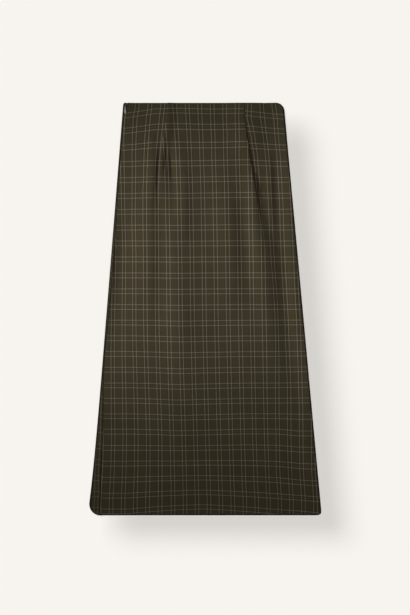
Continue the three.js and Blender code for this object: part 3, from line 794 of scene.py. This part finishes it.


def cloth_material():
    """Dark olive-brown wool twill with a twin-line check."""
    n = Nodes("wool_check")
    uv = n.add("ShaderNodeUVMap", uv_map="check").outputs[0]
    split = n.add("ShaderNodeSeparateXYZ")
    n.link(uv, split.inputs[0])
    u, v = split.outputs[0], split.outputs[1]
    across, down = (n.times(c, size) for c, size in zip((u, v), CHECK_SIZE))
    flat = n.add("ShaderNodeCombineXYZ")
    n.link(across, flat.inputs[0])
    n.link(down, flat.inputs[1])
    on_cloth = flat.outputs[0]  # millimetres along the cloth

    def distance(value, place, size):
        """Millimetres from the nearest line of a kind."""
        return n.times(n.math("PINGPONG", n.math("SUBTRACT", value, place), 0.5), size)

    def pair(value, size, strength, middle, faint):
        first = n.ramp(distance(value, 0.0, size), 0.35, 1.15, 1.0, 0.0)
        second = n.ramp(distance(value, PAIR_SPACING, size), 0.35, 1.15, 1.0, 0.0)
        total = n.times(n.math("ADD", first, second), strength)
        for place, share in ((PAIR_SPACING / 2, middle), (0.56, faint), (0.73, faint)):
            weak = n.ramp(distance(value, place, size), 0.3, 1.3, share, 0.0)
            total = n.math("ADD", total, weak)
        return total

    upright = pair(u, CHECK_SIZE[0], strength=0.58, middle=0.02, faint=0.05)
    level = pair(v, CHECK_SIZE[1], strength=0.56, middle=0.10, faint=0.0)

    between_u = n.ramp(distance(u, PAIR_SPACING / 2, CHECK_SIZE[0]), 2.6, 3.9, 1.0, 0.0)
    between_v = n.ramp(distance(v, PAIR_SPACING / 2, CHECK_SIZE[1]), 3.6, 5.2, 1.0, 0.0)
    between = n.times(n.math("ADD", between_u, between_v), 0.5)

    heather = n.noise(on_cloth, 0.9, 4.0, 0.7)
    drift = n.noise(on_cloth, 0.012, 2.0, 0.5)
    slubs = n.noise(n.stretched(on_cloth, (0.16, 1.6, 1.0)), 1.0, 3.0, 0.6)

    colour = n.colour_mix(between, GROUND, GROUND_DARK)
    lines = n.math("ADD", upright, level)
    lines = n.times(lines, n.ramp(slubs, 0.25, 0.75, 0.8, 1.15))
    lines = n.math("MINIMUM", lines, 1.0)
    kept = n.math("SUBTRACT", 1.0, n.times(n.attribute("faded"), STRIP_FADE))
    lines = n.times(lines, kept)
    colour = n.colour_mix(lines, colour, LINE)
    shade = n.times(n.ramp(heather, 0.2, 0.8, 0.84, 1.16), n.ramp(drift, 0.2, 0.8, 0.94, 1.06))
    tone = n.add("ShaderNodeCombineXYZ")
    for socket in tone.inputs:
        n.link(shade, socket)
    colour = n.colour_mix(1.0, colour, tone.outputs[0], "MULTIPLY")
    # Painted shade: the cloth is darkened to near black at its outline and in the opening at the zip.
    colour = n.colour_mix(n.attribute("painted_edge_shade"), colour, PAINTED_EDGE_SHADE_COLOUR)
    n.link(colour, n.shader.inputs["Base Color"])

    # Twill: fine diagonal ribs, a little broken, over the soft unevenness of the yarn.
    rib = n.add("ShaderNodeTexWave", wave_type="BANDS", bands_direction="DIAGONAL")
    n.link(on_cloth, rib.inputs["Vector"])
    n.put(rib, Scale=0.42, Distortion=1.2, Detail_Scale=1.6)
    relief = n.math("ADD", n.times(rib.outputs["Fac"], 0.6), heather)
    n.bump(relief, 0.35, 0.0004)
    n.put(n.shader, Roughness=0.88, Specular_IOR_Level=0.18)
    n.put(n.shader, Sheen_Weight=0.10, Sheen_Roughness=0.55, Sheen_Tint=srgb(150, 142, 124))
    return n.material


def plain_cloth_material(name, colour, scale):
    """Matt cloth or thread with a fine rib: zip tape and sewing thread."""
    n = Nodes(name)
    place = n.add("ShaderNodeTexCoord").outputs["Object"]
    mottle = n.noise(place, scale, 4.0, 0.6)
    dark = tuple(0.7 * c for c in colour[:3]) + (1.0,)
    n.link(n.colour_mix(n.ramp(mottle, 0.3, 0.7), dark, colour), n.shader.inputs["Base Color"])
    rib = n.add("ShaderNodeTexWave", bands_direction="Y")
    n.link(place, rib.inputs["Vector"])
    n.put(rib, Scale=scale / 8)
    n.bump(rib.outputs["Fac"], 0.4, 0.0002)
    n.put(n.shader, Roughness=0.85, Specular_IOR_Level=0.2)
    return n.material


def metal_material(name, dark, light, metallic):
    """Metal, faintly brushed and worn, in a tone between dark and light."""
    n = Nodes(name)
    place = n.add("ShaderNodeTexCoord").outputs["Object"]
    streaks = n.noise(n.stretched(place, (4000.0, 300.0, 4000.0)), 1.0, 3.0, 0.6)
    wear = n.ramp(n.noise(place, 500.0, 3.0, 0.6), 0.35, 0.65, 0.0, 0.25)
    share = n.math("ADD", wear, n.times(n.attribute("toward_tab_end"), 0.75))
    n.link(n.colour_mix(share, dark, light), n.shader.inputs["Base Color"])
    n.link(n.ramp(streaks, 0.2, 0.8, 0.34, 0.5), n.shader.inputs["Roughness"])
    n.bump(streaks, 0.15, 0.0001)
    n.put(n.shader, Metallic=metallic)
    return n.material


# ------------------------ panels

wool = cloth_material()
# The zip tape's dark tone is its own, made darker still as painted shade for the deep shadow in the opening
# beside the pull tab; the teeth share it.
tape_cloth_with_painted_shade = plain_cloth_material("zip_tape_knit_and_painted_shade", srgb(24, 22, 16), 1500.0)
thread = plain_cloth_material("sewing_thread", srgb(34, 30, 22), 3000.0)
nickel = metal_material("dull_nickel", srgb(74, 71, 66), srgb(152, 149, 141), 0.1)
enamel = metal_material("dark_enamel", srgb(34, 32, 26), srgb(60, 56, 47), 0.0)


def spread_drops(*stretches):
    """Drops from stretch to stretch: (start, end, steps) for each."""
    return np.concatenate([np.linspace(*stretch, endpoint=False) for stretch in stretches])


FRONT_DROPS = spread_drops(
    (0, 4, 5), (4, 100, 30), (100, 300, 52), (300, 700, 62), (700, 860, 36), (860, 897, 16)
)
BACK_DROPS = spread_drops(
    (0, 4, 5), (4, 100, 18), (100, 560, 40), (560, 780, 34), (780, 870, 26), (870, 899, 20)
)


def panel(name, section_at, drops, hem_rise):
    return add_object(name, wall_mesh(name, *panel_grid(section_at, drops, hem_rise)), wool)


front = panel("front", front_row, FRONT_DROPS, FRONT_HEM_RISE)
back = panel("back", back_row, BACK_DROPS, BACK_HEM_RISE)
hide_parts("front_panel")
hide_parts("back_panel")

# ------------------------ zip


def flat_shape(name, outlines, thickness, bevel):
    """A plate from closed outlines in its own x-y plane, with rounded edges: the first is its edge."""
    curve = bpy.data.curves.new(name, "CURVE")
    curve.dimensions = "2D"
    curve.fill_mode = "BOTH"
    curve.extrude = max(thickness / 2 - bevel, 0) * MM
    curve.bevel_depth = bevel * MM
    curve.bevel_resolution = 2
    curve.offset = -bevel * MM
    for outline in outlines:
        spline = curve.splines.new("POLY")
        spline.points.add(len(outline) - 1)
        for point, (x, y) in zip(spline.points, outline):
            point.co = (x * MM, y * MM, 0, 1)
        spline.use_cyclic_u = True
    holder = bpy.data.objects.new(name, curve)
    mesh = bpy.data.meshes.new_from_object(holder)
    bpy.data.objects.remove(holder)
    bpy.data.curves.remove(curve)
    mesh.name = name
    return mesh


def arc(centre, radius, start, end, steps):
    """Points on a circle, angles in degrees."""
    angles = np.radians(np.linspace(start, end, steps))
    return [(centre[0] + radius * math.cos(a), centre[1] + radius * math.sin(a)) for a in angles]


TAB_LENGTH, TAB_THICKNESS = 16.6, 0.9
TAB_NECK, TAB_BELLY = 1.6, 2.2  # half widths
TAB_SHOULDER, TAB_SHOULDER_Y, TAB_NECK_END = 0.7, -0.2, -3.6
EYE_HALF_WIDTH, EYE_TOP, EYE_BOTTOM = 0.8, -0.85, -2.2
TAB_HOLE = 0.75  # radius
TAB_SWING = math.radians(4.5)  # it hangs a little aslant in its loose eye
SLIDER_LENGTH, SLIDER_WIDTH, SLIDER_NOSE = 9.0, 5.2, 1.6
SLIDER_BASE, SLIDER_TOP = 1.5, 3.8
BRIDGE_RADIUS, BRIDGE_WIRE = 1.7, 0.9

zip_angle = math.atan2(seam_line(PIVOT_DROP + SLIDER_LENGTH) - seam_line(PIVOT_DROP), SLIDER_LENGTH)
zip_pivot = Vector((seam_line(PIVOT_DROP), LENGTH / 2 - PIVOT_DROP, PIVOT_HEIGHT)) * MM


def place_mesh(mesh, lift=0.0, upright=False, swing=0.0):
    """Turns a flat plate's mesh to its place at the zip's pivot. upright stands it along the seam."""
    turn = Matrix.Rotation(zip_angle + swing, 4, "Z")
    if upright:
        turn = turn @ Matrix.Rotation(math.pi / 2, 4, "Z") @ Matrix.Rotation(math.pi / 2, 4, "X")
    mesh.transform(Matrix.Translation(zip_pivot + Vector((0, 0, lift * MM))) @ turn)
    mesh.shade_smooth()
    return mesh


def pull_tab():
    belly = -TAB_LENGTH + TAB_BELLY
    across = TAB_NECK - TAB_SHOULDER
    outline = arc((0, belly), TAB_BELLY, 180, 360, 17)
    outline += [(TAB_NECK, TAB_NECK_END), (TAB_NECK, TAB_SHOULDER_Y)]
    outline += arc((across, TAB_SHOULDER_Y), TAB_SHOULDER, 0, 90, 5)
    outline += arc((-across, TAB_SHOULDER_Y), TAB_SHOULDER, 90, 180, 5) + [(-TAB_NECK, TAB_NECK_END)]
    half = EYE_HALF_WIDTH
    eye = [(-half, EYE_TOP), (half, EYE_TOP), (half, EYE_BOTTOM)]
    eye += arc((0, EYE_BOTTOM), half, -30, -150, 5) + [(-half, EYE_BOTTOM)]
    hole = arc((0, belly), TAB_HOLE, 0, 337.5, 16)
    mesh = flat_shape("pull_tab", [outline, eye, hole], TAB_THICKNESS, 0.16)
    toward_tab_end = mesh.attributes.new("toward_tab_end", "FLOAT", "POINT")  # 0 at the eye, rising to 1 at the round end: the metal is lighter towards the tab's round end
    for value, vertex in zip(toward_tab_end.data, mesh.vertices):
        value.value = float(ease(-2.0, belly, vertex.co.y / MM))
    piece = add_object("pull_tab", place_mesh(mesh, swing=TAB_SWING), nickel, "pull_tab")
    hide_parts("zip_pull_tab")


def slider():
    half, front_end = SLIDER_WIDTH / 2, SLIDER_LENGTH / 2
    plan = [(-half, front_end), (-half, -front_end + SLIDER_NOSE), (-half + SLIDER_NOSE, -front_end)]
    plan += [(half - SLIDER_NOSE, -front_end), (half, -front_end + SLIDER_NOSE), (half, front_end)]
    height = SLIDER_TOP - SLIDER_BASE
    mesh = flat_shape("slider", [plan], height, 0.4)
    place_mesh(mesh, SLIDER_BASE + height / 2 - PIVOT_HEIGHT)
    foot = SLIDER_TOP - PIVOT_HEIGHT - 0.3
    outer, inner = BRIDGE_RADIUS + BRIDGE_WIRE / 2, BRIDGE_RADIUS - BRIDGE_WIRE / 2
    arch = [(outer, foot)] + arc((0, 0), outer, 0, 180, 17) + [(-outer, foot), (-inner, foot)]
    arch += arc((0, 0), inner, 180, 0, 13) + [(inner, foot)]
    bridge_mesh = place_mesh(flat_shape("slider_bridge", [arch], BRIDGE_WIRE, 0.18), 0.0, True)
    piece = add_object("zip_slider_body", mesh, enamel)
    add_object("zip_slider_bridge", bridge_mesh, enamel)
    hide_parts("zip_slider")


TAPE_TOP, TAPE_BELOW_SLIDER, TAPE_BOTTOM = 1.0, 12.0, 217.0
TAPE_IN, TAPE_OUT = 2.8, 14.0  # from the outline
TAPE_THICKNESS, TAPE_LEVEL, TAPE_CLEARANCE = 0.6, 1.9, 0.9
TOOTH_PITCH, TOOTH_OFFSET, TOOTH_LEVELS = 0.75, 0.35, (2.25, 2.75)
TOOTH_HALF_SIZE = (1.0, 0.26)
BOX_FACES = [(0, 3, 2, 1), (4, 5, 6, 7), (0, 1, 5, 4), (1, 2, 6, 5), (2, 3, 7, 6), (3, 0, 4, 7)]


def zip_tape():
    """The tape on the back panel, and the closed teeth along its seam."""
    beside = at(SEAM, "inset", PIVOT_DROP) + SLIDER_WIDTH / 2 + TAPE_CLEARANCE
    corners = [
        (TAPE_BELOW_SLIDER, TAPE_IN), (TAPE_BOTTOM, TAPE_IN), (TAPE_BOTTOM, TAPE_OUT), (TAPE_TOP, TAPE_OUT),
        (TAPE_TOP, beside), (TAPE_BELOW_SLIDER, beside),
    ]
    outline = [(left_side(drop) + inset, LENGTH / 2 - drop) for drop, inset in corners]
    mesh = flat_shape("zip_tape", [outline], TAPE_THICKNESS, 0.1)
    mesh.transform(Matrix.Translation((0, 0, TAPE_LEVEL * MM)))
    tape = add_object("tape", mesh, tape_cloth_with_painted_shade)
    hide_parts("zip_tape")

    vertices, faces = [], []
    corner = np.array([(-1, -1), (1, -1), (1, 1), (-1, 1)]) * TOOTH_HALF_SIZE
    for k, drop in enumerate(np.arange(TAPE_BELOW_SLIDER + 0.6, TAPE_BOTTOM - 6, TOOTH_PITCH)):
        side = 1 if k % 2 else -1
        x = left_side(drop) + at(SEAM, "inset", drop) + TOOTH_OFFSET * side
        y = LENGTH / 2 - drop
        for z in TOOTH_LEVELS:
            vertices += [(x + cx, y + cy, z) for cx, cy in corner]
        faces += (np.array(BOX_FACES) + 8 * k).tolist()
    teeth_mesh = bpy.data.meshes.new("zip_teeth")
    teeth_mesh.from_pydata((np.array(vertices) * MM).tolist(), [], faces)
    return tape, add_object("zip_teeth", teeth_mesh, tape_cloth_with_painted_shade)


pull_tab()
slider()
tape, teeth = zip_tape()

# ------------------------ stitches


def surface_height(x, drop):
    """Top of the front panel's cloth near the side seam."""
    return front_height(np.array([x]), drop)[0] + CLOTH / 2


def stitch_run(name, stitches, radius):
    """Short threads, each from one point to another over the cloth: one joined mesh of small arches."""
    sides, steps = 6, 5
    vertices, faces = [], []
    for start, end, rise in stitches:
        start, end = np.array(start), np.array(end)
        along = (end - start) / np.linalg.norm(end - start)
        side = np.cross(along, (0, 0, 1))
        base = len(vertices)
        for k in range(steps):
            t = k / (steps - 1)
            centre = mix(start, end, t) + np.array([0, 0, rise * math.sin(math.pi * t) - radius * 0.4])
            girth = radius * (0.35 + 0.65 * math.sin(math.pi * (0.12 + 0.76 * t)))
            for s in range(sides):
                a = 2 * math.pi * s / sides
                vertices.append(centre + girth * (math.cos(a) * side + math.sin(a) * np.array([0, 0, 1])))
        for k in range(steps - 1):
            for s in range(sides):
                a, b = base + k * sides + s, base + k * sides + (s + 1) % sides
                faces.append((a, b, b + sides, a + sides))
        faces.append(tuple(base + s for s in range(sides))[::-1])
        faces.append(tuple(base + (steps - 1) * sides + s for s in range(sides)))
    mesh = bpy.data.meshes.new(name)
    mesh.from_pydata((np.array(vertices) * MM).tolist(), [], faces)
    mesh.shade_smooth()
    return add_object(name, mesh, thread)


# Stitches start STITCH_INSET beside the seam and run down the skirt. The bar tack's lie across the seam.
STITCH_DROPS, STITCH_INSET = np.arange(560, VENT_TOP - 10, 6.5), 2.6
STITCH_LENGTH, STITCH_SLANT = 3.0, 0.25
TACK_DROPS, TACK_HALF_WIDTH, TACK_SLANT = VENT_TOP - 8 + 0.75 * np.arange(9), 1.9, 0.3


def seam_stitches():
    """Hand stitches that hold the side seam's allowance above the vent."""
    stitches = []
    for drop in STITCH_DROPS:
        x, y = seam_line(drop) + STITCH_INSET, LENGTH / 2 - drop
        z = surface_height(x, drop)
        stitches.append(((x, y, z), (x - STITCH_SLANT, y - STITCH_LENGTH, z), 0.18))
    return stitch_run("seam_stitches", stitches, 0.22)


def vent_bar_tack():
    """A short dense bar across the seam at the top of the vent."""
    stitches = []
    for drop in TACK_DROPS:
        x, y = seam_line(drop), LENGTH / 2 - drop
        z = seam_level(drop) + CLOTH / 2 - 0.1
        stitches.append(((x - TACK_HALF_WIDTH, y, z), (x + TACK_HALF_WIDTH, y - TACK_SLANT, z), 0.25))
    return stitch_run("vent_bar_tack", stitches, 0.26)


stitches = seam_stitches()
bar_tack = vent_bar_tack()

# ------------------------ floor, light and camera

# The floor and the lights are in metres and watts, and CARD_HEIGHT is in millimetres.
FLOOR_COLOUR, FLOOR_HALF_SIZE, FLOOR_LEVEL = (0.800, 0.779, 0.743, 1.0), 30.0, -0.0003
WORLD_LIGHT, FILL_STRENGTH = 0.08, 1.09
FLOOR_EVEN, FLOOR_SOFT = 2.335, 1.36
KEY_ELEVATION, KEY_DISTANCE = math.radians(22), 2.8
# Two spots of the key light: where each is aimed along the skirt, how wide it is there, and its power.
KEY_SPOTS = {"key_core": (0.127, 0.435, 312.0), "key_rim": (0.05, 0.62, 96.0)}
STRIP_X, STRIP_Y, STRIP_HEIGHT, STRIP_SIZE, STRIP_POWER = -0.24, 0.07, 0.26, (0.10, 0.70), 0.15
CARD_HEIGHT = 100.0


def flat_sheet(name, corners, height):
    mesh = bpy.data.meshes.new(name)
    mesh.from_pydata([(x, y, height) for x, y in corners], [], [(0, 1, 2, 3)])
    sheet = in_scene(name, mesh)
    return sheet


def make_floor():
    corners = [(x * FLOOR_HALF_SIZE, y * FLOOR_HALF_SIZE) for x, y in ((-1, -1), (1, -1), (1, 1), (-1, 1))]
    floor = flat_sheet("floor", corners, FLOOR_LEVEL)
    n = Nodes("pale_floor")
    n.put(n.shader, Base_Color=FLOOR_COLOUR, Roughness=1.0, Specular_IOR_Level=0.0)
    floor.data.materials.append(n.material)
    floor.visible_diffuse = False
    return floor


def shadow_card():
    """An unseen sheet above the floor, of the skirt's outline: it throws the wide soft shadow."""
    sides = ((left_side, 0), (left_side, LENGTH), (right_side, LENGTH), (right_side, 0))
    corners = [(side(drop) * MM, (LENGTH / 2 - drop) * MM) for side, drop in sides]
    card = flat_sheet("shadow_card", corners, CARD_HEIGHT * MM)
    for ray in ("camera", "diffuse", "glossy", "transmission", "volume_scatter"):
        setattr(card, f"visible_{ray}", False)
    return card


def collection_of(name, objects):
    group = bpy.data.collections.new(name)
    for item in objects:
        group.objects.link(item)
    return group


def add_light(name, kind, place, target, energy, **settings):
    data = bpy.data.lights.new(name, kind)
    data.energy = energy
    for key, value in settings.items():
        setattr(data, key, value)
    lamp = in_scene(name, data)
    lamp.location = place
    lamp.rotation_euler = (Vector(target) - Vector(place)).to_track_quat("-Z", "Y").to_euler()
    return lamp


def light_scene(floor):
    world = bpy.data.worlds.new("studio")
    world.use_nodes = True
    world.node_tree.nodes["Background"].inputs[0].default_value = (1, 1, 1, 1)
    world.node_tree.nodes["Background"].inputs[1].default_value = WORLD_LIGHT
    bpy.context.scene.world = world

    card = shadow_card()
    cloth_parts = [o for o in bpy.context.scene.objects if o.type == "MESH" and o not in (floor, card)]
    skirt_group = collection_of("lit_on_the_skirt", cloth_parts)
    floor_group = collection_of("lit_on_the_floor", [floor])

    # A lamp low at the left rakes over the cloth: a core and a wider rim that falls off towards the hem.
    direction = Vector((-math.cos(KEY_ELEVATION), 0, math.sin(KEY_ELEVATION)))
    lamps = []
    for name, (y, radius, power) in KEY_SPOTS.items():
        target = Vector((0, y, 0))
        cone = 2 * math.atan(radius / KEY_DISTANCE)
        place = target + direction * KEY_DISTANCE
        lamps.append(add_light(
            name, "SPOT", place, target, power, spot_size=cone, spot_blend=0.9, shadow_soft_size=0.18,
        ))
    # A narrow box close over the -X side.
    strip = add_light(
        "strip", "AREA", (STRIP_X, STRIP_Y, STRIP_HEIGHT), (STRIP_X, STRIP_Y, 0), STRIP_POWER,
        shape="RECTANGLE", size=STRIP_SIZE[0], size_y=STRIP_SIZE[1],
    )
    strip.visible_camera = False
    # A wide soft box overhead.
    fill = add_light("fill", "SUN", (-0.30, 0.25, 1.0), (0, 0, 0), FILL_STRENGTH, angle=math.radians(50))
    for lamp in (*lamps, strip, fill):
        lamp.light_linking.receiver_collection = skirt_group
        lamp.light_linking.blocker_collection = skirt_group

    even = add_light("floor_even", "SUN", (0, 0, 1.0), (0, 0, 0), FLOOR_EVEN, use_shadow=False)
    soft = add_light("floor_soft", "SUN", (-0.59, 0.52, 1.0), (0, 0, 0), FLOOR_SOFT, angle=math.radians(32))
    even.light_linking.receiver_collection = floor_group
    soft.light_linking.receiver_collection = floor_group


FRAME_HEIGHT = 1341.6  # what the picture takes in from top to bottom, at the height of the cloth
FRAME_X, FRAME_Y, CLOTH_TOP = -0.4, 3.5, 5.0
LENS, SENSOR = 100.0, 36.0


def place_camera():
    """Straight down. The picture is higher than it is wide, so the sensor's size is its height."""
    data = bpy.data.cameras.new("camera")
    data.lens = LENS
    data.sensor_width = SENSOR
    camera = in_scene("camera", data)
    camera.location = Vector((FRAME_X, FRAME_Y, FRAME_HEIGHT * LENS / SENSOR + CLOTH_TOP)) * MM
    bpy.context.scene.camera = camera


floor = make_floor()
light_scene(floor)
place_camera()
bpy.context.scene.view_settings.view_transform = "Standard"
